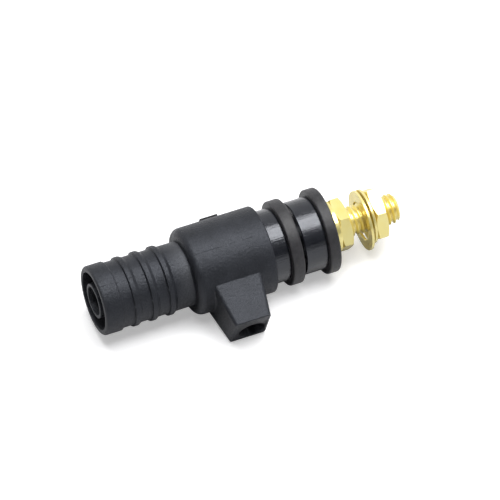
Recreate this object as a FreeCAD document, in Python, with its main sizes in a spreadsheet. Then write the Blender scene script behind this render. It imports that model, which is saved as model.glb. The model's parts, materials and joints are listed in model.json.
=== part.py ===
import FreeCAD, Part
import math
import os
import re
import Sketcher

# Insulated press-to-open binding post, in millimetres.
# The post's axis lies along X: the socket faces -X and the threaded stud points to +X.
# x = 0 is the rear face of the front ring, which seats on the front of the panel.
# The part lies on the wide body of its housing and on the lower edge of its cable snout.

sizes = [
    ("nose_length", 15.65, "front face to the shoulder"),
    ("rim_wall", 0.98, "rim band outside the shroud groove"),
    ("rib_height", 0.42, "rim and ribs above the nose at the shoulder"),
    ("nose_taper", 0.15, "growth of the nose between the ribs, from the shoulder to the face"),
    ("rim_band", 3.0, "plain band behind the front face"),
    ("rib_start", 5.0, "front face to the first rib"),
    ("rib_pitch", 3.03, "from rib to rib"),
    ("rib_width", 1.4, "foot of one rib"),
    ("rib_crown", 0.75, "full-height part of one rib"),
    ("rib_rise", 0.12, "steep front flank of a rib"),
    ("rib_count", 3, "ribs round the nose"),
    ("body_wall", 1.12, "wide body outside the front barrel"),
    ("rim_round", 0.45, "outer edge of the front face"),
    ("face_round", 0.12, "edges of the groove and of the inner tube"),
    ("shoulder_round", 1.25, "edge of the shoulder"),
    ("body_rear_round", 0.3, "rear edge of the housing"),
    ("shroud_gap", 1.9, "width of the groove for a shrouded plug"),
    ("core_wall", 0.54, "inner tube round the contact"),
    ("contact_recess", 1.3, "face to the contact tube with the housing pressed"),
    ("shroud_floor", 1.5, "wall behind the groove"),
    ("snout_centre", 7.0, "shoulder to the cable entry and the guide pin"),
    ("snout_lead", 0.3, "snout's middle in front of the cable entry"),
    ("snout_rise", 0.7, "mouth's middle above the cable entry"),
    ("snout_length", 5.33, "wide body to the mouth of the snout"),
    ("snout_root", 4.0, "post axis to the buried end of the snout"),
    ("mouth_wall", 0.85, "mouth beside the cable entry, along the post"),
    ("mouth_wall_across", 1.45, "mouth beside the cable entry, across the post"),
    ("snout_flare", 2.65, "growth of the snout's width down to its buried end"),
    ("snout_flare_across", 2.7, "growth of the snout's height down to its buried end"),
    ("mouth_corner", 0.6, "corner radius at the mouth"),
    ("root_corner", 0.7, "corner radius at the buried end"),
    ("mouth_round", 0.15, "outer edge of the snout's mouth"),
    ("snout_fillet", 0.3, "inner corner between snout and body"),
    ("cable_radius", 2.25, "cable entry at the mouth"),
    ("cable_depth", 6.0, "straight part of the cable entry"),
    ("wire_radius", 1.6, "wire hole in the clamp bush and the post"),
    ("press_travel", 2.5, "stroke of the housing"),
    ("neck_spare", 0.25, "neck still shown at the end of the stroke"),
    ("contact_radius", 2.0, "socket for a 4 mm plug"),
    ("contact_wall", 0.36, "wall of the contact tube"),
    ("socket_stop", 0.4, "end of the socket in front of the post's body"),
    ("post_step", 0.94, "post's body outside the contact tube"),
    ("bush_wall", 0.95, "wall of the clamp bush"),
    ("bush_ahead", 5.95, "clamp bush in front of the cable entry"),
    ("bush_behind", 2.35, "clamp bush behind the cable entry"),
    ("seat_thick", 0.4, "washer under the spring"),
    ("seat_rim", 0.2, "clearance of that washer in the front barrel"),
    ("spring_packed", 2.7, "return spring with the housing pressed"),
    ("spring_wire", 0.5, "wire of the return spring"),
    ("spring_turns", 4.25, "turns of the return spring"),
    ("spring_ease", 0.4, "return spring outside the post's body"),
    ("barrel_floor", 2.75, "front barrel between the post's collar and the panel"),
    ("collar_thick", 0.8, "hexagonal collar of the post"),
    ("collar_step", 0.7, "flats of the collar outside the post's body"),
    ("chamber_ease", 0.02, "spring chamber outside the corners of the hexagonal seat"),
    ("pin_half", 1.5, "half the width of the square guide pin opposite the snout"),
    ("pin_proud", 0.22, "guide pin above the housing"),
    ("slot_depth", 1.1, "guide slot in the post"),
    ("barrel_radius", 6.1, "insulating barrels, for a 12.5 mm panel hole"),
    ("spigot_step", 1.5, "barrel ends that carry the rings, inside the barrels"),
    ("front_ring_width", 2.1, "ring in front of the panel"),
    ("front_ring_step", 1.0, "front ring outside the barrels"),
    ("rear_ring_width", 1.9, "ring behind the panel"),
    ("rear_ring_step", 1.0, "rear ring outside the barrels"),
    ("ring_round", 0.3, "edges of the rings"),
    ("barrel_round", 0.2, "edges of the barrels beside the rings and the gap"),
    ("barrel_gap", 0.65, "front ring to rear barrel"),
    ("rear_barrel_length", 3.75, "rear barrel in front of its ring"),
    ("locating_radius", 3.6, "sleeve of the rear barrel that reaches into the front barrel"),
    ("locating_length", 1.2, "that sleeve in front of the rear barrel"),
    ("locating_depth", 1.5, "recess for it in the front barrel"),
    ("stud_radius", 2.49, "M5 stud"),
    ("stud_chamfer", 0.45, "end of the stud"),
    ("stud_past_nut", 2.74, "stud beyond the second nut"),
    ("nut_flats", 8.0, "across the flats of both nuts"),
    ("nut_thick", 2.0, "both nuts"),
    ("nut_chamfer", 0.3, "corners of both nuts"),
    ("panel_nut_turn", 1.7, "degrees from +Y to a corner"),
    ("lug_nut_turn", 13.9, "degrees from +Y to a corner"),
    ("panel_washer_step", 0.3, "panel washer inside the rear barrel's spigot"),
    ("panel_washer_thick", 1.35, "washer behind the rear ring"),
    ("thread_shown", 2.8, "bare thread between nut and lug washer"),
    ("lug_washer_radius", 5.0, "flat washer of the lug terminal"),
    ("lug_washer_thick", 0.45, "flat washer of the lug terminal"),
    ("lug_washer_play", 0.75, "lug washer's bore around the stud"),
    ("washer_gap", 0.25, "flat washer to spring washer"),
    ("spring_washer_radius", 4.55, "spring washer"),
    ("spring_washer_thick", 0.42, "spring washer's section"),
    ("spring_washer_lift", 0.2, "rise of one turn of the spring washer"),
    ("nut_gap", 0.08, "spring washer to the second nut"),
    ("run_clearance", 0.05, "radial clearance of running fits and threads"),
    ("stop_clearance", 0.15, "left at the end of the housing's stroke"),
    ("bolt_clearance", 0.15, "radial clearance of loose bores on the stud"),
]

doc = FreeCAD.newDocument("BindingPost")
sheet = doc.addObject("Spreadsheet::Sheet", "Sizes")
for row, (name, number, note) in enumerate(sizes, start=1):
    sheet.set(f"A{row}", name)
    sheet.set(f"B{row}", str(number))
    sheet.set(f"C{row}", note)
    sheet.setAlias(f"B{row}", name)
doc.recompute()
names = {name for name, number, note in sizes}

# Radii that fit on each other.
contact_outer = "(contact_radius + contact_wall)"
tube_bore = f"({contact_outer} + run_clearance)"
core_radius = f"({tube_bore} + core_wall)"
shroud_radius = f"({core_radius} + shroud_gap)"
nose_radius = f"({shroud_radius} + rim_wall)"
nose_valley = f"({nose_radius} - rib_height)"
post_radius = f"({contact_outer} + post_step)"
bush_bore = f"({post_radius} + run_clearance)"
bush_outer = f"({bush_bore} + bush_wall)"
sleeve_bore = "(barrel_radius + run_clearance)"
body_radius = f"({sleeve_bore} + body_wall)"
pin_tip = f"({post_radius} - slot_depth + run_clearance)"
spring_radius = f"({post_radius} + spring_ease + 0.5 * spring_wire)"
collar_flats = f"(2 * ({post_radius} + collar_step))"
seat_flats = f"({collar_flats} + 2 * run_clearance)"
chamber_radius = f"({seat_flats} / (2 * cos(30)) + chamber_ease)"
spigot_radius = "(barrel_radius - spigot_step)"
front_ring_radius = "(barrel_radius + front_ring_step)"
rear_ring_radius = "(barrel_radius + rear_ring_step)"
panel_washer_radius = f"({spigot_radius} - panel_washer_step)"
thread_bore = "(stud_radius + run_clearance)"
loose_bore = "(stud_radius + bolt_clearance)"
past = f"(2 * {body_radius})"

# The cable snout.
snout_reach = f"({body_radius} + snout_length)"
mouth_width = "(2 * (cable_radius + mouth_wall))"
mouth_height = "(2 * (cable_radius + mouth_wall_across))"

# Stations along the axis in front of the panel, from the post's collar to the front face.
collar_rear = "(-barrel_floor)"
collar_front = f"({collar_rear} - collar_thick)"
spring_length = "(press_travel + spring_packed)"
seat_rear = f"({collar_front} - {spring_length})"
bush_rear = f"({seat_rear} - seat_thick)"
snout_x = f"({bush_rear} - bush_behind)"
pressed_x = f"({snout_x} + press_travel)"
bush_front = f"({snout_x} - bush_ahead)"
shroud_end = f"({bush_front} - shroud_floor)"
shoulder = f"({snout_x} - snout_centre)"
face = f"({shoulder} - nose_length)"
contact_front = f"({face} + contact_recess + press_travel + stop_clearance)"
post_front = f"({bush_front} + press_travel + stop_clearance)"
barrel_front = f"({bush_rear} + press_travel + stop_clearance)"
housing_rear = "(-front_ring_width - press_travel - neck_spare)"

# Stations behind the panel's front.
rear_ring_front = "(barrel_gap + rear_barrel_length)"
rear_ring_rear = f"({rear_ring_front} + rear_ring_width)"
panel_nut_front = f"({rear_ring_rear} + panel_washer_thick)"
panel_nut_rear = f"({panel_nut_front} + nut_thick)"
lug_washer_front = f"({panel_nut_rear} + thread_shown)"
lug_washer_rear = f"({lug_washer_front} + lug_washer_thick)"
spring_washer_front = f"({lug_washer_rear} + washer_gap)"
spring_washer_rear = f"({spring_washer_front} + spring_washer_thick + spring_washer_lift)"
lug_nut_front = f"({spring_washer_rear} + nut_gap)"
stud_end = f"({lug_nut_front} + nut_thick + stud_past_nut)"

# The lying angle at which the wide body and the snout's lower edge both touch the floor.
mouth_drop = f"(0.5 * {mouth_height} - snout_rise)"
lower_edge = f"sqrt({snout_reach} ^ 2 + {mouth_drop} ^ 2)"
lying_turn = f"(asin({body_radius} / {lower_edge}) - atan({mouth_drop} / {snout_reach}))"


def formula(text):
    """Writes the sheet's name before each size in an expression."""
    return re.sub(r"[a-z_]+", lambda word: f"Sizes.{word[0]}" if word[0] in names else word[0], text)


def value(text):
    return float(sheet.evalExpression(formula(text)))


def plane_of(body, role):
    return [item for item in body.Origin.OriginFeatures if item.Role == role][0]


def new_body(label):
    body = doc.addObject("PartDesign::Body", label)
    body.Label = label
    return body


def new_sketch(body, name, plane, lift="0", shift="0"):
    """An empty sketch on an origin plane, lifted along its normal and shifted along its first axis."""
    sketch = body.newObject("Sketcher::SketchObject", name)
    sketch.AttachmentSupport = [(plane_of(body, plane), "")]
    sketch.MapMode = "FlatFace"
    sketch.setExpression("AttachmentOffset.Base.x", formula(shift))
    sketch.setExpression("AttachmentOffset.Base.z", formula(lift))
    return sketch


def pin_point(sketch, geometry, point, across, along):
    """Holds one point of a sketch at a named distance from the sketch's origin."""
    for kind, size in (("DistanceX", across), ("DistanceY", along)):
        number = sketch.addConstraint(Sketcher.Constraint(kind, -1, 1, geometry, point, value(size)))
        sketch.setExpression(f"Constraints[{number}]", formula(size))


def outline(body, name, plane, points, lift="0", shift="0"):
    """A closed outline of straight lines through the given points."""
    sketch = new_sketch(body, name, plane, lift, shift)
    places = [FreeCAD.Vector(value(across), value(along), 0) for across, along in points]
    for start, end in zip(places, places[1:] + places[:1]):
        sketch.addGeometry(Part.LineSegment(start, end), False)
    for index, (across, along) in enumerate(points):
        following = (index + 1) % len(points)
        sketch.addConstraint(Sketcher.Constraint("Coincident", index, 2, following, 1))
        pin_point(sketch, index, 1, across, along)
    doc.recompute()
    return sketch


def rounded_outline(body, name, plane, width, height, corner, lift, shift, rise="0"):
    """A rectangle with round corners, its middle at a rise: each corner's arc runs counter-clockwise."""
    sketch = new_sketch(body, name, plane, lift, shift)
    signs = [(1, 1), (-1, 1), (-1, -1), (1, -1)]
    radius = value(corner)
    for quarter, (side, top) in enumerate(signs):
        across = side * (value(width) / 2 - radius)
        along = top * (value(height) / 2 - radius) + value(rise)
        centre = FreeCAD.Vector(across, along, 0)
        circle = Part.Circle(centre, FreeCAD.Vector(0, 0, 1), radius)
        start = quarter * math.pi / 2
        sketch.addGeometry(Part.ArcOfCircle(circle, start, start + math.pi / 2), False)
    for quarter in range(4):
        start = sketch.Geometry[quarter].EndPoint
        end = sketch.Geometry[(quarter + 1) % 4].StartPoint
        sketch.addGeometry(Part.LineSegment(start, end), False)
    for quarter, (side, top) in enumerate(signs):
        centre_across = f"({side} * (0.5 * {width} - {corner}))"
        centre_along = f"({top} * (0.5 * {height} - {corner}) + {rise})"
        pin_point(sketch, quarter, 3, centre_across, centre_along)
        sketch.addConstraint(Sketcher.Constraint("Tangent", quarter, 2, 4 + quarter, 1))
        sketch.addConstraint(Sketcher.Constraint("Tangent", 4 + quarter, 2, (quarter + 1) % 4, 1))
    for side, direction in enumerate(("Horizontal", "Vertical", "Horizontal")):
        sketch.addConstraint(Sketcher.Constraint(direction, 4 + side))
    number = sketch.addConstraint(Sketcher.Constraint("Radius", 0, radius))
    sketch.setExpression(f"Constraints[{number}]", formula(corner))
    doc.recompute()
    return sketch


def turn(body, kind, name, sketch, axis="H_Axis"):
    """Revolves a sketch, as a Revolution that adds or a Groove that cuts."""
    feature = body.newObject(f"PartDesign::{kind}", name)
    feature.Profile = sketch
    feature.ReferenceAxis = (sketch, [axis])
    feature.Angle = 360
    doc.recompute()
    return feature


def turned(label, points):
    """A piece turned about the post's axis from (x, radius) points."""
    body = new_body(label)
    turn(body, "Revolution", f"{label}_turned", outline(body, f"{label}_section", "XY_Plane", points))
    return body


def bore_across(body, name, points, station):
    """Cuts a round hole square to the axis: points are (radius, y) about the line at the station."""
    section = outline(body, f"{name}_section", "XY_Plane", points, shift=station)
    return turn(body, "Groove", name, section, "V_Axis")


def ring_points(front, rear, inner, outer):
    return [(front, inner), (rear, inner), (rear, outer), (front, outer)]


def hexagon(flats, turn_angle="0"):
    """Corner points of a hexagon on the YZ plane, one corner turned up from +Y."""
    corner = f"({flats} / (2 * cos(30)))"
    return [
        (f"({corner} * cos({turn_angle} + {60 * step}))", f"({corner} * sin({turn_angle} + {60 * step}))")
        for step in range(6)
    ]


def pad(body, name, sketch, length, kind="Pad", reversed_way=False):
    feature = body.newObject(f"PartDesign::{kind}", name)
    feature.Profile = sketch
    feature.setExpression("Length", formula(length))
    feature.Reversed = reversed_way
    doc.recompute()
    return feature


def circle_edges(shape, station, radius):
    """Names of the full circles about the post's axis at one station, with one radius."""
    found = []
    for index, edge in enumerate(shape.Edges, start=1):
        if not isinstance(edge.Curve, Part.Circle):
            continue
        centre = edge.Curve.Center
        near = abs(centre.x - value(station)) < 1e-4 and abs(edge.Curve.Radius - value(radius)) < 1e-4
        if near and math.hypot(centre.y, centre.z) < 1e-4:
            found.append(f"Edge{index}")
    return found


def edges_within(shape, low_x, high_x, low_y, high_y):
    """Names of the edges whose boxes lie between two stations and two heights across the axis."""
    found = []
    for index, edge in enumerate(shape.Edges, start=1):
        box = edge.BoundBox
        along = box.XMin > value(low_x) and box.XMax < value(high_x)
        across = box.YMin > value(low_y) - 1e-3 and box.YMax < value(high_y) + 1e-3
        if along and across:
            found.append(f"Edge{index}")
    return found


def round_edges(body, name, base, edges, radius):
    feature = body.newObject("PartDesign::Fillet", name)
    feature.Base = (base, edges)
    feature.setExpression("Radius", formula(radius))
    doc.recompute()
    return feature


def checked_cut(body, before, name):
    """Stops if a cut took nothing away."""
    if body.Shape.Volume >= before - 1e-6:
        raise RuntimeError(f"{name} removed nothing")


def valley_at(reach):
    """Radius of the nose between the ribs, at a distance behind the face."""
    return f"({nose_valley} + nose_taper * (1 - {reach} / nose_length))"


def rib_points(number):
    """Outline of one rib: steep towards the face, level at its crown, sloping down to the rear."""
    reach = f"(rib_start + {number} * rib_pitch)"
    start = f"({face} + {reach})"
    return [
        (start, valley_at(reach)),
        (f"({start} + rib_rise)", nose_radius),
        (f"({start} + rib_rise + rib_crown)", nose_radius),
        (f"({start} + rib_width)", valley_at(f"({reach} + rib_width)")),
    ]


def pin_outline(body, name, lift):
    """The square section of the guide pin, across the post at a lift towards the snout."""
    return outline(body, name, "XZ_Plane", [
        ("(-1 * pin_half)", "(-1 * pin_half)"), ("pin_half", "(-1 * pin_half)"),
        ("pin_half", "pin_half"), ("(-1 * pin_half)", "pin_half"),
    ], lift=lift, shift=snout_x)


def make_housing():
    """Ribbed nose, wide body and cable snout, moulded in one piece."""
    body = new_body("grip_housing")
    points = [(face, "0"), (face, nose_radius), (f"({face} + rim_band)", nose_radius)]
    points.append((f"({face} + rim_band + rib_rise)", valley_at("(rim_band + rib_rise)")))
    for number in range(int(value("rib_count"))):
        points.extend(rib_points(number))
    points.append((shoulder, nose_valley))
    points.append((shoulder, body_radius))
    points.extend([(housing_rear, body_radius), (housing_rear, "0")])
    outer = turn(body, "Revolution", "housing_outside", outline(body, "housing_section", "XY_Plane", points))
    shoulder_limit = f"(0.8 * ({body_radius} - {nose_valley}))"
    for name, station, radius, size in (
        ("rim_edge", face, nose_radius, "rim_round"),
        ("shoulder_edge", shoulder, body_radius, f"min(shoulder_round; {shoulder_limit})"),
        ("rear_edge", housing_rear, body_radius, "body_rear_round"),
    ):
        outer = round_edges(body, name, outer, circle_edges(outer.Shape, station, radius), size)

    root_width = f"({mouth_width} + snout_flare)"
    root_height = f"({mouth_height} + snout_flare_across)"
    snout_middle = f"({snout_x} - snout_lead)"
    root = rounded_outline(body, "snout_root_section", "XZ_Plane", root_width, root_height,
                           "root_corner", "snout_root", snout_middle)
    mouth = rounded_outline(body, "snout_mouth_section", "XZ_Plane", mouth_width, mouth_height,
                            "mouth_corner", snout_reach, snout_middle, "snout_rise")
    snout = body.newObject("PartDesign::AdditiveLoft", "snout")
    snout.Profile = root
    snout.Sections = [mouth]
    snout.Ruled = True
    doc.recompute()
    joint_edges = edges_within(snout.Shape, shoulder, housing_rear,
                               f"(-1 * {body_radius})", f"(-0.5 * {body_radius})")
    snout = round_edges(body, "snout_joint", snout, joint_edges, "snout_fillet")
    mouth_y = f"(-1 * {snout_reach})"
    mouth_edges = edges_within(snout.Shape, shoulder, housing_rear, mouth_y, mouth_y)
    round_edges(body, "snout_edge", snout, mouth_edges, "mouth_round")

    before = body.Shape.Volume
    groove = outline(body, "shroud_section", "XY_Plane",
                     ring_points(face, shroud_end, core_radius, shroud_radius))
    turn(body, "Groove", "shroud_groove", groove)
    checked_cut(body, before, "shroud_groove")

    before = body.Shape.Volume
    bores = outline(body, "bore_section", "XY_Plane", [
        (face, "0"), (face, tube_bore), (bush_front, tube_bore), (bush_front, bush_outer),
        (bush_rear, bush_outer), (bush_rear, sleeve_bore), (housing_rear, sleeve_bore),
        (housing_rear, "0"),
    ])
    turn(body, "Groove", "axial_bores", bores)
    checked_cut(body, before, "axial_bores")
    base = body.Tip
    face_edges = []
    for radius in (shroud_radius, core_radius, tube_bore):
        face_edges.extend(circle_edges(base.Shape, face, radius))
    round_edges(body, "face_edges", base, face_edges, "face_round")

    before = body.Shape.Volume
    cone_start = f"(cable_depth - {snout_reach})"
    bore_across(body, "cable_entry", [
        ("0", mouth_y), ("cable_radius", mouth_y), ("cable_radius", cone_start),
        ("wire_radius", f"(-1 * {bush_outer})"), ("wire_radius", f"(-1 * {bush_bore})"),
        ("0", f"(-1 * {bush_bore})"),
    ], snout_x)
    checked_cut(body, before, "cable_entry")

    before = body.Shape.Volume
    hole = pin_outline(body, "pin_hole_section", f"(-1 * {bush_bore})")
    pad(body, "pin_hole", hole, past, "Pocket")
    checked_cut(body, before, "pin_hole")
    return body


def make_clamp_bush():
    """Brass bush in the housing: its cross hole pulls the wire against the post."""
    body = turned("clamp_bush", ring_points(bush_front, bush_rear, bush_bore, bush_outer))
    before = body.Shape.Volume
    bore_across(body, "bush_wire_hole", [
        ("0", f"(-1 * {past})"), ("wire_radius", f"(-1 * {past})"), ("wire_radius", "0"), ("0", "0"),
    ], snout_x)
    checked_cut(body, before, "bush_wire_hole")
    before = body.Shape.Volume
    pad(body, "bush_pin_hole", pin_outline(body, "bush_pin_section", "0"), past, "Pocket")
    checked_cut(body, before, "bush_pin_hole")
    return body


def make_guide_pin():
    """Pin opposite the snout: its tip runs in the post's slot and stops the housing at both ends."""
    body = new_body("guide_pin")
    section = pin_outline(body, "pin_section", f"(-1 * {pin_tip})")
    pad(body, "pin_block", section, f"({body_radius} + pin_proud - {pin_tip})", reversed_way=True)
    return body


def make_post():
    """Brass post: contact tube, slotted body with the wire hole, hexagonal collar and stud."""
    tip = f"({stud_end} - stud_chamfer)"
    body = turned("contact_post", [
        (contact_front, "0"), (contact_front, contact_outer), (post_front, contact_outer),
        (post_front, post_radius), (collar_rear, post_radius), (collar_rear, "stud_radius"),
        (tip, "stud_radius"), (stud_end, "(stud_radius - stud_chamfer)"), (stud_end, "0"),
    ])
    collar = outline(body, "collar_section", "YZ_Plane", hexagon(collar_flats), lift=collar_front)
    pad(body, "collar", collar, "collar_thick")

    before = body.Shape.Volume
    floor = f"({post_front} - socket_stop)"
    drill_point = f"({floor} + 0.5 * contact_radius)"
    socket = outline(body, "socket_section", "XY_Plane", [
        (contact_front, "0"), (contact_front, "contact_radius"), (floor, "contact_radius"),
        (drill_point, "0"),
    ])
    turn(body, "Groove", "socket", socket)
    checked_cut(body, before, "socket")

    before = body.Shape.Volume
    bore_across(body, "wire_hole", [
        ("0", f"(-1 * {past})"), ("wire_radius", f"(-1 * {past})"), ("wire_radius", "0"), ("0", "0"),
    ], pressed_x)
    checked_cut(body, before, "wire_hole")

    before = body.Shape.Volume
    half = "(pin_half + run_clearance)"
    slot = outline(body, "slot_section", "XZ_Plane", [
        (f"({snout_x} - {half})", f"(-1 * {half})"), (f"({pressed_x} + {half})", f"(-1 * {half})"),
        (f"({pressed_x} + {half})", half), (f"({snout_x} - {half})", half),
    ], lift=f"(slot_depth - {post_radius})")
    pad(body, "guide_slot", slot, "(slot_depth + run_clearance)", "Pocket")
    checked_cut(body, before, "guide_slot")
    return body


def make_front_barrel():
    """Glossy barrel in front of the panel: spring chamber, hexagonal seat, recess and ring spigot."""
    recess = "(locating_radius + run_clearance)"
    body = turned("front_barrel", [
        (barrel_front, chamber_radius), (collar_front, chamber_radius), (collar_front, loose_bore),
        ("(-locating_depth)", loose_bore), ("(-locating_depth)", recess), ("0", recess),
        ("0", spigot_radius), ("(-front_ring_width)", spigot_radius),
        ("(-front_ring_width)", "barrel_radius"), (barrel_front, "barrel_radius"),
    ])
    before = body.Shape.Volume
    seat = outline(body, "hex_seat_section", "YZ_Plane", hexagon(seat_flats),
                   lift=collar_front)
    pad(body, "hex_seat", seat, "collar_thick", "Pocket", reversed_way=True)
    checked_cut(body, before, "hex_seat")
    base = body.Tip
    round_edges(body, "front_barrel_edge", base,
                circle_edges(base.Shape, "(-front_ring_width)", "barrel_radius"), "barrel_round")
    return body


def make_ring(label, front, rear, radius):
    """Matt ring pressed on a barrel's spigot, with rounded outer edges."""
    body = turned(label, ring_points(front, rear, spigot_radius, radius))
    base = body.Tip
    edges = circle_edges(base.Shape, front, radius) + circle_edges(base.Shape, rear, radius)
    round_edges(body, f"{label}_edges", base, edges, "ring_round")
    return body


def make_rear_barrel():
    """Glossy barrel in the panel hole, with a sleeve into the front barrel and a spigot for its ring."""
    sleeve_tip = "(barrel_gap - locating_length)"
    body = turned("rear_barrel", [
        (sleeve_tip, loose_bore), (rear_ring_rear, loose_bore), (rear_ring_rear, spigot_radius),
        (rear_ring_front, spigot_radius), (rear_ring_front, "barrel_radius"),
        ("barrel_gap", "barrel_radius"), ("barrel_gap", "locating_radius"),
        (sleeve_tip, "locating_radius"),
    ])
    base = body.Tip
    edges = []
    for station in ("barrel_gap", rear_ring_front):
        edges.extend(circle_edges(base.Shape, station, "barrel_radius"))
    round_edges(body, "rear_barrel_edges", base, edges, "barrel_round")
    return body


def make_nut(label, front, turn_angle):
    """Thin hexagon nut, its corners turned off at both faces."""
    body = new_body(label)
    rear = f"({front} + nut_thick)"
    outside = outline(body, f"{label}_outline", "YZ_Plane", hexagon("nut_flats", turn_angle), lift=front)
    pad(body, f"{label}_hexagon", outside, "nut_thick")
    before = body.Shape.Volume
    bore = outline(body, f"{label}_bore_section", "XY_Plane", ring_points(front, rear, "0", thread_bore))
    turn(body, "Groove", f"{label}_bore", bore)
    corner = "(nut_flats / (2 * cos(30)))"
    reach = f"({corner} + nut_chamfer)"
    flat = "(0.5 * nut_flats)"
    for side, end, way in (("front", front, 1), ("rear", rear, -1)):
        section = outline(body, f"{label}_{side}_section", "XY_Plane", [
            (end, flat), (f"({end} + {way} * nut_chamfer)", corner),
            (f"({end} + {way} * nut_chamfer)", reach), (end, reach),
        ])
        turn(body, "Groove", f"{label}_{side}_chamfer", section)
    checked_cut(body, before, label)
    return body


def make_coil(label, points, turns, rise):
    """A section wound about the post's axis."""
    body = new_body(label)
    winding = body.newObject("PartDesign::AdditiveHelix", f"{label}_winding")
    winding.Profile = points(body)
    winding.ReferenceAxis = (winding.Profile[0], ["H_Axis"])
    winding.Mode = "pitch-turns-angle"
    winding.setExpression("Turns", formula(turns))
    winding.setExpression("Pitch", formula(rise))
    doc.recompute()
    return body


def spring_section(body):
    """Round wire at the front end of the return spring."""
    sketch = new_sketch(body, "wire_section", "XY_Plane")
    start = f"({seat_rear} + 0.5 * spring_wire)"
    centre = FreeCAD.Vector(value(start), value(spring_radius), 0)
    sketch.addGeometry(Part.Circle(centre, FreeCAD.Vector(0, 0, 1), value("spring_wire") / 2), False)
    pin_point(sketch, 0, 3, start, spring_radius)
    number = sketch.addConstraint(Sketcher.Constraint("Diameter", 0, value("spring_wire")))
    sketch.setExpression(f"Constraints[{number}]", formula("spring_wire"))
    doc.recompute()
    return sketch


def spring_washer_section(body):
    """Flat section at the split of the spring washer."""
    rear = f"({spring_washer_front} + spring_washer_thick)"
    return outline(body, "split_section", "XY_Plane",
                   ring_points(spring_washer_front, rear, loose_bore, "spring_washer_radius"))


housing = make_housing()
bush = make_clamp_bush()
pin = make_guide_pin()
spring_seat = turned("spring_seat",
                     ring_points(bush_rear, seat_rear, bush_bore, f"({chamber_radius} - seat_rim)"))
post = make_post()
spring = make_coil("return_spring", spring_section, "spring_turns",
                   f"(({spring_length} - spring_wire) / spring_turns)")
front_barrel = make_front_barrel()
front_ring = make_ring("front_ring", "(-front_ring_width)", "0", front_ring_radius)
rear_barrel = make_rear_barrel()
rear_ring = make_ring("rear_ring", rear_ring_front, rear_ring_rear, rear_ring_radius)
panel_washer = turned("panel_washer",
                      ring_points(rear_ring_rear, panel_nut_front, loose_bore, panel_washer_radius))
panel_nut = make_nut("panel_nut", panel_nut_front, "panel_nut_turn")
lug_washer = turned("lug_washer", ring_points(lug_washer_front, lug_washer_rear,
                                              "(stud_radius + lug_washer_play)", "lug_washer_radius"))
spring_washer = make_coil("spring_washer", spring_washer_section, "0.97", "spring_washer_lift")
lug_nut = make_nut("lug_nut", lug_nut_front, "lug_nut_turn")

# What is square to the snout turns with it, and the loose lug washer hangs on the stud.
for body in (housing, bush, pin, post):
    body.Placement = FreeCAD.Placement(FreeCAD.Vector(), FreeCAD.Rotation(FreeCAD.Vector(1, 0, 0), 1))
    body.setExpression("Placement.Rotation.Angle", formula(lying_turn))
front_barrel.Placement = FreeCAD.Placement(FreeCAD.Vector(), FreeCAD.Rotation(FreeCAD.Vector(1, 0, 0), 1))
front_barrel.setExpression("Placement.Rotation.Angle", formula(lying_turn))
lug_washer.setExpression("Placement.Base.z", formula("(run_clearance - lug_washer_play)"))
doc.recompute()

bodies = [housing, bush, pin, spring_seat, post, spring, front_barrel, front_ring, rear_barrel, rear_ring,
          panel_washer, panel_nut, lug_washer, spring_washer, lug_nut]
for item in doc.Objects:
    if "Invalid" in item.State or "Error" in item.State:
        raise RuntimeError(f"{item.Label} failed: {item.State}")
for body in bodies:
    if body.Shape.isNull() or not body.Shape.isValid() or len(body.Shape.Solids) != 1:
        raise RuntimeError(f"{body.Label} is not one sound solid")

os.makedirs("parts", exist_ok=True)
for body in bodies:
    body.Shape.exportStep(os.path.join("parts", f"{body.Label}.step"))
    print(f"{body.Label}: {body.Shape.Volume:.2f} mm3")
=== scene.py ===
import json
from math import atan2, cos, hypot, pi, radians, sin

import bmesh
import bpy
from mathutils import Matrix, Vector


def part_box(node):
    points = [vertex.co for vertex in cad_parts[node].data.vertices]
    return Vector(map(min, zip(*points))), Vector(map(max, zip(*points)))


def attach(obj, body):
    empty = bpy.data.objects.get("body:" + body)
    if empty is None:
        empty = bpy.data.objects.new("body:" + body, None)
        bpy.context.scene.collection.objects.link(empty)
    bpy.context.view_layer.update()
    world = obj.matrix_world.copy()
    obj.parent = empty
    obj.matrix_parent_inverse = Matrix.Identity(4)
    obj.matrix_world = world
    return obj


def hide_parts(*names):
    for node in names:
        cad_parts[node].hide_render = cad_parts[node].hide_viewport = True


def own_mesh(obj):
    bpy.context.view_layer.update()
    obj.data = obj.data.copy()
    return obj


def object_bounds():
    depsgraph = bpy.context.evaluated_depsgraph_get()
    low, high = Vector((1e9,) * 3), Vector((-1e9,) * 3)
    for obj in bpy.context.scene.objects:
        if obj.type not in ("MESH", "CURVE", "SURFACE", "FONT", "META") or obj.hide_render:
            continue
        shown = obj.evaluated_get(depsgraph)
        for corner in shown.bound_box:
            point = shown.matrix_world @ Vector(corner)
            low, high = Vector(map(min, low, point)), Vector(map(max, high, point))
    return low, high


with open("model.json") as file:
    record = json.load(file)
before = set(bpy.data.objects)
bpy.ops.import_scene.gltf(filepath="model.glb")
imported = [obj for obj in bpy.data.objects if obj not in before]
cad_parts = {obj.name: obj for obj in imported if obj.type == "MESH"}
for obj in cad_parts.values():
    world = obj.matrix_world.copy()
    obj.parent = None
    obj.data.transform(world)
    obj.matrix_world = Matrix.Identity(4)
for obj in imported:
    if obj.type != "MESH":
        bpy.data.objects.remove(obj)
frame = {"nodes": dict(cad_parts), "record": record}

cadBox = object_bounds()
mm = 0.001
postAxis = (1, 0, 0)
print("frame loaded:", len(frame["nodes"]), "nodes")


# Read from the frame: x of a node's front and rear end, and its largest radius about the post
def nodeSpan(node):
    low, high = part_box(node)
    return low.x, high.x, max(abs(low.y), abs(high.y), abs(low.z), abs(high.z))


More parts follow.
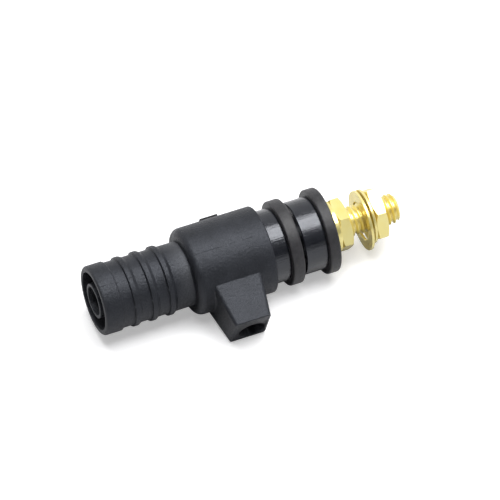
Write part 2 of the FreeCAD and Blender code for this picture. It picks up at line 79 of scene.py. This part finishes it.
snoutMount = [mount for mount in frame["record"]["mounts"] if mount["name"] == "cable_entry"][0]
snoutWay = Vector(snoutMount["axis"]).normalized()
snoutX = snoutMount["pos_m"][0]
snoutTurn = atan2(-snoutWay.z, -snoutWay.y)      # how far the snout points below -Y


# A material with its nodes, links and shader; the helpers after it return the socket with their result
def newMaterial(name):
    material = bpy.data.materials.new(name)
    material.use_nodes = True
    nodes = material.node_tree.nodes
    shader = nodes["Principled BSDF"]
    return material, nodes, material.node_tree.links, shader


# Object coordinates in millimetres, turned about the post so that the snout lies along -Y
def objectSpace(nodes, links, turn=0.0):
    coords = nodes.new("ShaderNodeTexCoord")
    mapping = nodes.new("ShaderNodeMapping")
    mapping.inputs["Rotation"].default_value = (-turn, 0, 0)
    mapping.inputs["Scale"].default_value = (1000, 1000, 1000)
    links.new(coords.outputs["Object"], mapping.inputs["Vector"])
    return mapping.outputs["Vector"]


def noise(nodes, links, vector, scale, detail=4.0, roughness=0.55, stretch=None):
    if stretch:
        mapping = nodes.new("ShaderNodeMapping")
        mapping.inputs["Scale"].default_value = stretch
        links.new(vector, mapping.inputs["Vector"])
        vector = mapping.outputs["Vector"]
    texture = nodes.new("ShaderNodeTexNoise")
    texture.inputs["Scale"].default_value = scale
    texture.inputs["Detail"].default_value = detail
    texture.inputs["Roughness"].default_value = roughness
    links.new(vector, texture.inputs["Vector"])
    return texture.outputs["Fac"]


# Colour ramp from (position, colour) pairs
def ramp(nodes, links, value, stops):
    node = nodes.new("ShaderNodeValToRGB")
    elements = node.color_ramp.elements
    while len(elements) < len(stops):
        elements.new(0.5)
    for element, (position, colour) in zip(elements, stops):
        element.position = position
        element.color = (*colour, 1)
    links.new(value, node.inputs["Fac"])
    return node.outputs["Color"]


def span(nodes, links, value, low, high, newLow, newHigh):
    node = nodes.new("ShaderNodeMapRange")
    node.inputs["From Min"].default_value = low
    node.inputs["From Max"].default_value = high
    node.inputs["To Min"].default_value = newLow
    node.inputs["To Max"].default_value = newHigh
    links.new(value, node.inputs["Value"])
    return node.outputs["Result"]


def maths(nodes, links, operation, first, second=None):
    node = nodes.new("ShaderNodeMath")
    node.operation = operation
    for socket, item in zip(node.inputs, (first, second)):
        if item is None:
            continue
        if isinstance(item, (int, float)):
            socket.default_value = item
        else:
            links.new(item, socket)
    return node.outputs["Value"]


def blendColours(nodes, links, amount, first, second):
    node = nodes.new("ShaderNodeMix")
    node.data_type = "RGBA"
    links.new(amount, node.inputs[0])
    for socket, item in zip((node.inputs[6], node.inputs[7]), (first, second)):
        if isinstance(item, tuple):
            socket.default_value = (*item, 1)
        else:
            links.new(item, socket)
    return node.outputs[2]


def bump(nodes, links, height, distance, strength=1.0, normal=None):
    node = nodes.new("ShaderNodeBump")
    node.inputs["Strength"].default_value = strength
    node.inputs["Distance"].default_value = distance
    links.new(height, node.inputs["Height"])
    if normal:
        links.new(normal, node.inputs["Normal"])
    return node.outputs["Normal"]


edgePointiness = {"start": 0.52, "full": 0.6}      # where an edge begins to turn pale, and where it fully is: edge wear and painted edge highlight


# Up to amount on convex edges, 0 elsewhere: partly edge wear, partly painted edge highlight
def edgeWearAndHighlight(nodes, links, amount):
    geometry = nodes.new("ShaderNodeNewGeometry")
    wornAndHighlight = span(nodes, links, geometry.outputs["Pointiness"], edgePointiness["start"], edgePointiness["full"],
                0.0, 1.0)
    return maths(nodes, links, "MULTIPLY", wornAndHighlight, amount)


# Roughness of a finish, which follows a pattern
def patternRoughness(nodes, links, pattern, finish, low=0.3, high=0.7):
    return span(nodes, links, pattern, low, high, finish["roughLow"], finish["roughHigh"])


# Matt moulded plastic of the housing, with grain, a mould parting line, and edges paled by wear and painted
# highlight
housingFinish = {
    "dark": (0.0085, 0.0095, 0.012), "light": (0.017, 0.0185, 0.023), "wornAndHighlight": (0.085, 0.088, 0.095),
    "wearAndHighlightShare": 0.7, "cloudScale": 0.35, "roughLow": 0.34, "roughHigh": 0.48,
    "grainScale": 2.8, "grainDetail": 6.0, "grainRoughness": 0.7, "grainDepth": 0.00019, "grainBump": 0.6,
    "speckStart": 0.62, "speckFull": 0.8, "speckShade": 0.62,
    "partingWidth": 0.04, "partingDepth": 0.00008, "partingBump": 0.7,
    "breakScale": 0.9, "breakStart": 0.45, "breakFull": 0.6,
    "specular": 0.44, "shine": (0.86, 0.9, 1.0),
}


def makeHousingPlastic():
    f = housingFinish
    material, nodes, links, shader = newMaterial("housingPlastic")
    place = objectSpace(nodes, links, snoutTurn)
    grain = noise(nodes, links, place, f["grainScale"], f["grainDetail"], f["grainRoughness"])
    cloud = noise(nodes, links, place, f["cloudScale"], 3.0)
    body = ramp(nodes, links, cloud, [(0.3, f["dark"]), (0.7, f["light"])])
    speck = span(nodes, links, grain, f["speckStart"], f["speckFull"], 0.0, f["speckShade"])
    body = blendColours(nodes, links, speck, body, f["wornAndHighlight"])
    # Pale convex edges: partly edge wear, partly painted highlight
    wearAndHighlight = edgeWearAndHighlight(nodes, links, f["wearAndHighlightShare"])
    links.new(blendColours(nodes, links, wearAndHighlight, body, f["wornAndHighlight"]), shader.inputs["Base Color"])
    links.new(patternRoughness(nodes, links, grain, f), shader.inputs["Roughness"])
    split = nodes.new("ShaderNodeSeparateXYZ")
    links.new(place, split.inputs["Vector"])
    off = maths(nodes, links, "ABSOLUTE", split.outputs["Y"])
    breaks = noise(nodes, links, place, f["breakScale"], 4.0)
    broken = span(nodes, links, breaks, f["breakStart"], f["breakFull"], 0.0, 1.0)
    line = span(nodes, links, off, 0.0, f["partingWidth"], 1.0, 0.0)
    line = maths(nodes, links, "MULTIPLY", line, broken)
    fine = bump(nodes, links, grain, f["grainDepth"], f["grainBump"])
    links.new(bump(nodes, links, line, f["partingDepth"], f["partingBump"], fine), shader.inputs["Normal"])
    shader.inputs["Specular IOR Level"].default_value = f["specular"]
    shader.inputs["Specular Tint"].default_value = (*f["shine"], 1)
    return material


# Matt plastic of the two rings, a little coarser and scuffed
ringFinish = {
    "dark": (0.014, 0.0138, 0.016), "light": (0.03, 0.029, 0.033), "wornAndHighlight": (0.1, 0.1, 0.11),
    "wearAndHighlightShare": 0.6, "scuffScale": 1.1, "roughLow": 0.28, "roughHigh": 0.5,
    "grainScale": 3.4, "grainDepth": 0.00013, "grainBump": 0.7, "specular": 0.55,
}


# The same finish with hardly any shine, for the guide pin
pinFinish = {
    "dark": (0.008, 0.008, 0.009), "light": (0.013, 0.013, 0.015), "wornAndHighlight": (0.03, 0.03, 0.032),
    "wearAndHighlightShare": 0.6, "scuffScale": 1.1, "roughLow": 0.5, "roughHigh": 0.7,
    "grainScale": 5.0, "grainDepth": 0.00003, "grainBump": 0.7, "specular": 0.12,
}


def makeMattPlastic(name, f):
    material, nodes, links, shader = newMaterial(name)
    place = objectSpace(nodes, links)
    grain = noise(nodes, links, place, f["grainScale"], 8.0, 0.75)
    scuff = noise(nodes, links, place, f["scuffScale"], 5.0, 0.6)
    body = ramp(nodes, links, scuff, [(0.35, f["dark"]), (0.68, f["light"])])
    # Pale convex edges: partly edge wear, partly painted highlight
    wearAndHighlight = edgeWearAndHighlight(nodes, links, f["wearAndHighlightShare"])
    links.new(blendColours(nodes, links, wearAndHighlight, body, f["wornAndHighlight"]), shader.inputs["Base Color"])
    links.new(patternRoughness(nodes, links, grain, f), shader.inputs["Roughness"])
    links.new(bump(nodes, links, grain, f["grainDepth"], f["grainBump"]), shader.inputs["Normal"])
    shader.inputs["Specular IOR Level"].default_value = f["specular"]
    return material


# Glossy black plastic of the barrels, with fine scratches along the post
barrelFinish = {
    "dark": (0.007, 0.0078, 0.011), "light": (0.013, 0.0145, 0.019), "roughLow": 0.1, "roughHigh": 0.24,
    "cloudScale": 0.6, "waveDepth": 0.00002, "waveBump": 0.5,
    "hairScale": 2.0, "hairStretch": (0.12, 1.7, 1.7), "hairDepth": 0.00004,
    "coat": 0.47, "coatRough": 0.06, "coatIor": 1.6, "shine": (0.86, 0.9, 1.0),
}


def makeBarrelPlastic():
    f = barrelFinish
    material, nodes, links, shader = newMaterial("barrelPlastic")
    place = objectSpace(nodes, links)
    cloud = noise(nodes, links, place, f["cloudScale"], 4.0)
    hairs = noise(nodes, links, place, f["hairScale"], 6.0, 0.65, f["hairStretch"])
    links.new(ramp(nodes, links, cloud, [(0.3, f["dark"]), (0.7, f["light"])]), shader.inputs["Base Color"])
    links.new(patternRoughness(nodes, links, hairs, f, 0.35, 0.65), shader.inputs["Roughness"])
    wave = bump(nodes, links, cloud, f["waveDepth"], f["waveBump"])
    scratched = bump(nodes, links, hairs, f["hairDepth"], 1.0, wave)
    links.new(scratched, shader.inputs["Normal"])
    links.new(scratched, shader.inputs["Coat Normal"])
    shader.inputs["Coat Weight"].default_value = f["coat"]
    shader.inputs["Coat Roughness"].default_value = f["coatRough"]
    shader.inputs["Coat IOR"].default_value = f["coatIor"]
    shader.inputs["Specular Tint"].default_value = (*f["shine"], 1)
    return material


# Bright turned brass, with tool marks round the post and painted shade in its hollows
brassFinish = {
    "deep": (0.98, 0.82, 0.28), "pale": (1.0, 0.89, 0.39), "paintedShade": (0.42, 0.29, 0.07), "metal": 0.66,
    "toneScale": 0.3, "hollowFull": 0.42, "hollowStart": 0.49, "paintedShadeShare": 0.7,
    "roughLow": 0.22, "roughHigh": 0.27, "markSpacing": 9.0, "markScale": 1.6,
    "turnDepth": 0.0000012, "turnBump": 0.5,
}


def makeBrass():
    f = brassFinish
    material, nodes, links, shader = newMaterial("turnedBrass")
    place = objectSpace(nodes, links)
    split = nodes.new("ShaderNodeSeparateXYZ")
    links.new(place, split.inputs["Vector"])
    across = nodes.new("ShaderNodeCombineXYZ")
    links.new(split.outputs["Y"], across.inputs["Y"])
    links.new(split.outputs["Z"], across.inputs["Z"])
    radius = nodes.new("ShaderNodeVectorMath")
    radius.operation = "LENGTH"
    links.new(across.outputs["Vector"], radius.inputs[0])
    rings = nodes.new("ShaderNodeCombineXYZ")
    links.new(maths(nodes, links, "MULTIPLY", split.outputs["X"], f["markSpacing"]), rings.inputs["X"])
    links.new(maths(nodes, links, "MULTIPLY", radius.outputs["Value"], f["markSpacing"]), rings.inputs["Y"])
    toolMarks = noise(nodes, links, rings.outputs["Vector"], f["markScale"], 3.0, 0.6)
    tone = noise(nodes, links, place, f["toneScale"], 2.0)
    metal = ramp(nodes, links, tone, [(0.3, f["deep"]), (0.62, f["pale"])])
    # Painted shade: the brass turns darker where the surface is concave
    geometry = nodes.new("ShaderNodeNewGeometry")
    paintedShadeMask = span(nodes, links, geometry.outputs["Pointiness"], f["hollowFull"], f["hollowStart"],
                  f["paintedShadeShare"], 0.0)
    links.new(blendColours(nodes, links, paintedShadeMask, metal, f["paintedShade"]), shader.inputs["Base Color"])
    links.new(patternRoughness(nodes, links, toolMarks, f), shader.inputs["Roughness"])
    links.new(bump(nodes, links, toolMarks, f["turnDepth"], f["turnBump"]), shader.inputs["Normal"])
    shader.inputs["Metallic"].default_value = f["metal"]
    return material


# Drawn steel wire and the pressed steel washer under it
steelFinish = {
    "dark": (0.32, 0.32, 0.33), "light": (0.6, 0.6, 0.61), "roughLow": 0.2, "roughHigh": 0.4,
    "drawScale": 3.0, "drawDepth": 0.00001, "drawBump": 0.4,
}


def makeSteel():
    f = steelFinish
    material, nodes, links, shader = newMaterial("springSteel")
    place = objectSpace(nodes, links)
    draw = noise(nodes, links, place, f["drawScale"], 6.0)
    links.new(ramp(nodes, links, draw, [(0.3, f["dark"]), (0.7, f["light"])]), shader.inputs["Base Color"])
    links.new(patternRoughness(nodes, links, draw, f), shader.inputs["Roughness"])
    links.new(bump(nodes, links, draw, f["drawDepth"], f["drawBump"]), shader.inputs["Normal"])
    shader.inputs["Metallic"].default_value = 1.0
    return material


housingPlastic = makeHousingPlastic()
ringPlastic = makeMattPlastic("ringPlastic", ringFinish)
pinPlastic = makeMattPlastic("pinPlastic", pinFinish)
barrelPlastic = makeBarrelPlastic()
turnedBrass = makeBrass()
springSteel = makeSteel()
print("materials made")


mergeGap = 0.002 * mm      # points of a CAD mesh closer than this are one
tinyEdge = 0.001 * mm      # shorter edges are taken out


# Turns a bmesh into a piece that rides on a body and stands for CAD nodes
def finishPiece(bm, name, material, body, nodes=(), sharpAngle=32):
    mesh = bpy.data.meshes.new(name)
    bm.to_mesh(mesh)
    bm.free()
    for polygon in mesh.polygons:
        polygon.use_smooth = True
    mesh.set_sharp_from_angle(angle=radians(sharpAngle))
    mesh.materials.append(material)
    piece = bpy.data.objects.new(name, mesh)
    bpy.context.scene.collection.objects.link(piece)
    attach(piece, body)
    if nodes:
        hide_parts(*nodes)
    return piece


# Shading that follows the large faces
def addWeightedNormals(piece):
    modifier = piece.modifiers.new("evenNormals", "WEIGHTED_NORMAL")
    modifier.keep_sharp = True
    modifier.weight = 90


# A copy of a CAD node's mesh with its points joined
def mergedCopy(node):
    bm = bmesh.new()
    bm.from_mesh(frame["nodes"][node].data)
    bmesh.ops.remove_doubles(bm, verts=bm.verts, dist=mergeGap)
    bmesh.ops.dissolve_degenerate(bm, edges=bm.edges, dist=tinyEdge)
    return bm


# Spins a closed outline of (x, radius, rounding) corners about the post
def spunOutline(points, steps=144, segments=4):
    bm = bmesh.new()
    corners = [bm.verts.new((x, radius, 0)) for x, radius, rounding in points]
    bm.faces.new(corners)
    for size in sorted({rounding for x, radius, rounding in points if rounding}):
        chosen = [corner for corner, point in zip(corners, points) if point[2] == size]
        bmesh.ops.bevel(bm, geom=chosen, offset=size, offset_type="OFFSET", segments=segments,
                        profile=0.5, affect="VERTICES", material=-1)
    edges = list(bm.edges)
    bmesh.ops.delete(bm, geom=list(bm.faces), context="FACES_ONLY")
    bmesh.ops.spin(bm, geom=edges, cent=(0, 0, 0), axis=postAxis, angle=2 * pi, steps=steps, use_merge=True)
    bmesh.ops.remove_doubles(bm, verts=bm.verts, dist=tinyEdge)
    bmesh.ops.recalc_face_normals(bm, faces=bm.faces)
    return bm


# Nose of the housing: socket face, groove and ribs, in millimetres
nosePiece = {
    "cut": 15.45, "bore": 2.41, "core": 2.95, "groove": 4.85, "grooveDepth": 15.2, "rim": 5.83,
    "rimBand": 3.0, "valley": 5.41, "taper": 0.15, "length": 15.65, "ribStart": 5.0, "ribPitch": 3.03,
    "ribCount": 3, "ribRise": 0.12, "ribCrown": 0.75, "ribWidth": 1.4,
    "rimRound": 0.45, "faceRound": 0.12, "ribRound": 0.09, "footRound": 0.05, "steps": 180, "sharpAngle": 35,
}


# Radius between the ribs, a little larger towards the face
def valleyAt(reach):
    return nosePiece["valley"] + nosePiece["taper"] * (1 - reach / nosePiece["length"])


# Outline as (behind the face, radius, rounding): bore, socket core, groove, rim and ribs
def nosePoints():
    n = nosePiece
    points = [
        (n["cut"], n["bore"], 0), (0, n["bore"], n["faceRound"]), (0, n["core"], n["faceRound"]),
        (n["grooveDepth"], n["core"], 0), (n["grooveDepth"], n["groove"], 0),
        (0, n["groove"], n["faceRound"]), (0, n["rim"], n["rimRound"]),
        (n["rimBand"], n["rim"], n["ribRound"]),
    ]
    rimFoot = n["rimBand"] + n["ribRise"]
    points.append((rimFoot, valleyAt(rimFoot), n["footRound"]))
    for number in range(n["ribCount"]):
        start = n["ribStart"] + number * n["ribPitch"]
        crown = start + n["ribRise"]
        end = start + n["ribWidth"]
        points.append((start, valleyAt(start), n["footRound"]))
        points.append((crown, n["rim"], n["ribRound"]))
        points.append((crown + n["ribCrown"], n["rim"], n["ribRound"]))
        points.append((end, valleyAt(end), n["footRound"]))
    points.append((n["cut"], valleyAt(n["cut"]), 0))
    return points


# Wide body and snout: what the CAD moulding has behind the nose
bodyPiece = {"sharpAngle": 34}


def makeHousing():
    face = nodeSpan("grip_housing")[0]
    points = [(face + x * mm, radius * mm, rounding * mm) for x, radius, rounding in nosePoints()]
    nose = spunOutline(points, nosePiece["steps"])
    finishPiece(nose, "housingNose", housingPlastic, "housing", ["grip_housing"],
                nosePiece["sharpAngle"])
    bm = mergedCopy("grip_housing")
    everything = bm.verts[:] + bm.edges[:] + bm.faces[:]
    cutPlace = (face + nosePiece["cut"] * mm, 0, 0)
    bmesh.ops.bisect_plane(bm, geom=everything, plane_co=cutPlace, plane_no=postAxis, clear_inner=True)
    piece = finishPiece(bm, "housingBody", housingPlastic, "housing", (),
                        bodyPiece["sharpAngle"])
    addWeightedNormals(piece)


# Matt rings, pressed on the barrels
ringPiece = {"rounding": 0.3 * mm, "roundingSteps": 6, "bore": 4.6 * mm, "steps": 160}


def makeRings():
    r = ringPiece
    for node, name, body in (("front_ring", "frontRing", "post"), ("rear_ring", "rearRing", "rear_bushing")):
        front, rear, radius = nodeSpan(node)
        points = [
            (front, r["bore"], 0), (rear, r["bore"], 0),
            (rear, radius, r["rounding"]), (front, radius, r["rounding"]),
        ]
        ring = spunOutline(points, r["steps"], r["roundingSteps"])
        finishPiece(ring, name, ringPlastic, body, [node])


# Washers, with softened edges
washerPiece = {"softEdge": 0.06 * mm, "softSteps": 3, "softAbove": 40}


def makeFlatWashers():
    washers = (
        ("panel_washer", "panelWasher", "rear_bushing"), ("lug_washer", "lugWasher", "lug_washers"),
        ("spring_washer", "springWasher", "lug_washers"),
    )
    for node, name, body in washers:
        piece = finishPiece(mergedCopy(node), name, turnedBrass, body, [node])
        bevel = piece.modifiers.new("softEdges", "BEVEL")
        bevel.width = washerPiece["softEdge"]
        bevel.segments = washerPiece["softSteps"]
        bevel.limit_method = "ANGLE"
        bevel.angle_limit = radians(washerPiece["softAbove"])
        addWeightedNormals(piece)


# Return spring, a piece on the post with a mesh of its own; the real spring shortens towards its anchor as
# the housing is pressed
springPiece = {"anchor": (-3.55 * mm, 0, 0), "keep": 2.7 / 5.2, "sharpAngle": 60}


def makeSpring():
    piece = finishPiece(mergedCopy("return_spring"), "returnSpring", springSteel, "post",
                        ["return_spring"], springPiece["sharpAngle"])
    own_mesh(piece)


# Thin hexagon nuts; each is a body of its own, with its node's name
nutPiece = {"sharpAngle": 25}


def makeNuts():
    for node, name in (("panel_nut", "panelNut"), ("lug_nut", "lugNut")):
        bm = mergedCopy(node)
        piece = finishPiece(bm, name, turnedBrass, node, [node], nutPiece["sharpAngle"])
        addWeightedNormals(piece)


# Post and stud: the CAD post up to the panel, then a helical M5 thread
threadPiece = {
    "pitch": 0.8 * mm, "root": 2.02 * mm, "crest": 2.49 * mm, "crestShare": 0.125, "rootShare": 0.25,
    "stepsPerTurn": 64, "start": 0.3 * mm, "chamfer": 0.5 * mm, "mergeGap": 0.004 * mm,
    "sharpAngle": 28, "postSharpAngle": 30,
}


def makePost():
    t = threadPiece
    bm = mergedCopy("contact_post")
    everything = bm.verts[:] + bm.edges[:] + bm.faces[:]
    bmesh.ops.bisect_plane(bm, geom=everything, plane_co=(t["start"], 0, 0), plane_no=postAxis,
                           clear_outer=True)
    piece = finishPiece(bm, "contactPost", turnedBrass, "post", ["contact_post"],
                        t["postSharpAngle"])
    addWeightedNormals(piece)


# One ridge profile, spun along a helix, then cut to length and chamfered at its end
def makeThread():
    t = threadPiece
    rear = nodeSpan("contact_post")[1]
    turns = int((rear - t["start"]) / t["pitch"]) + 3
    flank = (1 - t["crestShare"] - t["rootShare"]) / 2
    shares = [(0, t["root"]), (t["rootShare"], t["root"]), (t["rootShare"] + flank, t["crest"]),
              (t["rootShare"] + flank + t["crestShare"], t["crest"]), (1, t["root"])]
    begin = t["start"] - 1.5 * t["pitch"]
    thread = bmesh.new()
    chain = [thread.verts.new((begin + share * t["pitch"], r, 0)) for share, r in shares]
    edges = [thread.edges.new(pair) for pair in zip(chain, chain[1:])]
    steps = t["stepsPerTurn"] * turns
    rise = (t["pitch"] / t["stepsPerTurn"], 0, 0)
    bmesh.ops.spin(thread, geom=chain + edges, cent=(0, 0, 0), axis=postAxis, angle=2 * pi * turns,
                   steps=steps, dvec=rise, use_merge=False)
    bmesh.ops.remove_doubles(thread, verts=thread.verts, dist=t["mergeGap"])
    for place, way in ((t["start"], -1), (rear, 1)):
        everything = thread.verts[:] + thread.edges[:] + thread.faces[:]
        bmesh.ops.bisect_plane(thread, geom=everything, plane_co=(place, 0, 0), plane_no=(way, 0, 0),
                               clear_outer=True)
    bmesh.ops.holes_fill(thread, edges=[edge for edge in thread.edges if edge.is_boundary], sides=0)
    for vert in thread.verts:
        limit = t["crest"] - max(0.0, vert.co.x - (rear - t["chamfer"]))
        across = hypot(vert.co.y, vert.co.z)
        if across > limit:
            vert.co.y *= limit / across
            vert.co.z *= limit / across
    bmesh.ops.recalc_face_normals(thread, faces=thread.faces)
    finishPiece(thread, "studThread", turnedBrass, "post", (), t["sharpAngle"])


makeHousing()
print("housing made")
makeRings()
makeFlatWashers()
makeSpring()
makeNuts()
print("rings, washers, spring and nuts made")
makePost()
makeThread()
print("post and thread made")

# CAD nodes that stay, with their materials
keptFinishes = {
    "clamp_bush": turnedBrass, "guide_pin": pinPlastic, "front_barrel": barrelPlastic,
    "rear_barrel": barrelPlastic, "spring_seat": springSteel,
}
for node, material in keptFinishes.items():
    mesh = frame["nodes"][node].data
    mesh.materials.clear()
    mesh.materials.append(material)
    for polygon in mesh.polygons:
        polygon.material_index = 0
print("kept nodes dressed")

# Camera at the photograph's angle
cameraSet = {
    "azimuth": -22.6, "elevation": 48.5, "distance": 3.0, "lens": 1339.0, "sensor": 36.0,
    "aim": (-7.8 * mm, 0, 0), "shiftRight": 0.85 * mm, "shiftUp": 0.67 * mm,
}


def makeCamera():
    c = cameraSet
    a, e = radians(c["azimuth"]), radians(c["elevation"])
    back = Vector((sin(a) * cos(e), -cos(a) * cos(e), sin(e)))
    right = Vector((cos(a), sin(a), 0))
    up = back.cross(right)
    target = Vector(c["aim"]) + right * c["shiftRight"] + up * c["shiftUp"]
    data = bpy.data.cameras.new("studioCamera")
    data.lens = c["lens"]
    data.sensor_width = c["sensor"]
    data.clip_start = 0.01
    camera = bpy.data.objects.new("studioCamera", data)
    camera.location = target + back * c["distance"]
    camera.rotation_mode = "QUATERNION"
    camera.rotation_quaternion = (-back).to_track_quat("-Z", "Y")
    bpy.context.scene.collection.objects.link(camera)
    bpy.context.scene.camera = camera


# Floor, room and lamps
stageSet = {
    "floorSize": 1.6, "floorWhite": (0.85, 0.85, 0.86), "floorDim": (0.12, 0.12, 0.13),
    "floorGlow": 0.37, "floorShine": 0.68, "floorRough": 0.9,
    "roomWay": (0.74, 0.66, 0.1), "roomFrom": -0.35, "roomTo": 0.1,
    "roomBright": 0.9, "roomDark": 0.02, "roomFill": 0.85, "roomShine": 0.78,
    "horizonLow": 0.1, "horizonHigh": 0.24, "horizonShine": 0.8,
    "lampHeight": 0.5, "lampLength": 0.46, "lampWidth": 0.175, "lampGap": 0.018, "lampPower": 1.7,
    "lampX": 0.06, "lampY": -0.035,
}


# White to the camera and in reflections, dim as a source of light, so that the shadow stays
def makeFloor():
    bm = bmesh.new()
    bmesh.ops.create_grid(bm, x_segments=1, y_segments=1, size=stageSet["floorSize"] / 2)
    bmesh.ops.translate(bm, verts=bm.verts, vec=(0, 0, cadBox[0].z))
    mesh = bpy.data.meshes.new("whiteFloor")
    bm.to_mesh(mesh)
    bm.free()
    material, nodes, links, shader = newMaterial("floorPaper")
    shader.inputs["Roughness"].default_value = stageSet["floorRough"]
    shader.inputs["Specular IOR Level"].default_value = 0.0
    path = nodes.new("ShaderNodeLightPath")
    shiny = maths(nodes, links, "MAXIMUM", path.outputs["Is Glossy Ray"], path.outputs["Is Transmission Ray"])
    shiny = maths(nodes, links, "MULTIPLY", shiny, stageSet["floorShine"])
    seen = maths(nodes, links, "MAXIMUM", path.outputs["Is Camera Ray"], shiny)
    links.new(blendColours(nodes, links, seen, stageSet["floorDim"], stageSet["floorWhite"]),
              shader.inputs["Base Color"])
    links.new(maths(nodes, links, "MULTIPLY", path.outputs["Is Camera Ray"], stageSet["floorGlow"]),
              shader.inputs["Emission Strength"])
    shader.inputs["Emission Color"].default_value = (1, 1, 1, 1)
    mesh.materials.append(material)
    floor = bpy.data.objects.new("whiteFloor", mesh)
    bpy.context.scene.collection.objects.link(floor)


# White to the camera, bright behind the stud's side and dark in front of the socket and the snout
def makeRoom():
    world = bpy.data.worlds.new("studioRoom")
    bpy.context.scene.world = world
    world.use_nodes = True
    nodes, links = world.node_tree.nodes, world.node_tree.links
    background = nodes["Background"]
    coords = nodes.new("ShaderNodeTexCoord")
    towards = nodes.new("ShaderNodeVectorMath")
    towards.operation = "DOT_PRODUCT"
    towards.inputs[1].default_value = stageSet["roomWay"]
    links.new(coords.outputs["Generated"], towards.inputs[0])
    side = span(nodes, links, towards.outputs["Value"], stageSet["roomFrom"], stageSet["roomTo"],
                stageSet["roomDark"], stageSet["roomBright"])
    path = nodes.new("ShaderNodeLightPath")
    shiny = maths(nodes, links, "MAXIMUM", path.outputs["Is Glossy Ray"], path.outputs["Is Transmission Ray"])
    soft = maths(nodes, links, "MULTIPLY", side, stageSet["roomFill"])
    seen = nodes.new("ShaderNodeMix")
    links.new(shiny, seen.inputs[0])
    links.new(soft, seen.inputs[2])
    split = nodes.new("ShaderNodeSeparateXYZ")
    links.new(coords.outputs["Generated"], split.inputs["Vector"])
    horizon = span(nodes, links, split.outputs["Z"], stageSet["horizonLow"], stageSet["horizonHigh"],
                   stageSet["horizonShine"], 0.0)
    shine = maths(nodes, links, "MULTIPLY", side, stageSet["roomShine"])
    links.new(maths(nodes, links, "MAXIMUM", shine, horizon), seen.inputs[3])
    final = nodes.new("ShaderNodeMix")
    links.new(path.outputs["Is Camera Ray"], final.inputs[0])
    links.new(seen.outputs[0], final.inputs[2])
    final.inputs[3].default_value = 1.0
    links.new(final.outputs[0], background.inputs["Strength"])
    background.inputs["Color"].default_value = (1, 1, 1, 1)


# Two long softboxes over the object with a narrow gap, which splits the streak on the barrels
def makeLamps():
    s = stageSet
    for number, side in enumerate((-1, 1)):
        data = bpy.data.lights.new(f"softbox{number}", "AREA")
        data.shape = "RECTANGLE"
        data.size = s["lampLength"]
        data.size_y = s["lampWidth"]
        data.energy = s["lampPower"]
        lamp = bpy.data.objects.new(f"softbox{number}", data)
        lamp.location = (s["lampX"], s["lampY"] + side * (s["lampWidth"] + s["lampGap"]) / 2, s["lampHeight"])
        bpy.context.scene.collection.objects.link(lamp)


makeCamera()
makeFloor()
makeRoom()
makeLamps()
bpy.context.scene.view_settings.view_transform = "Standard"
print("camera, floor and lamps made")
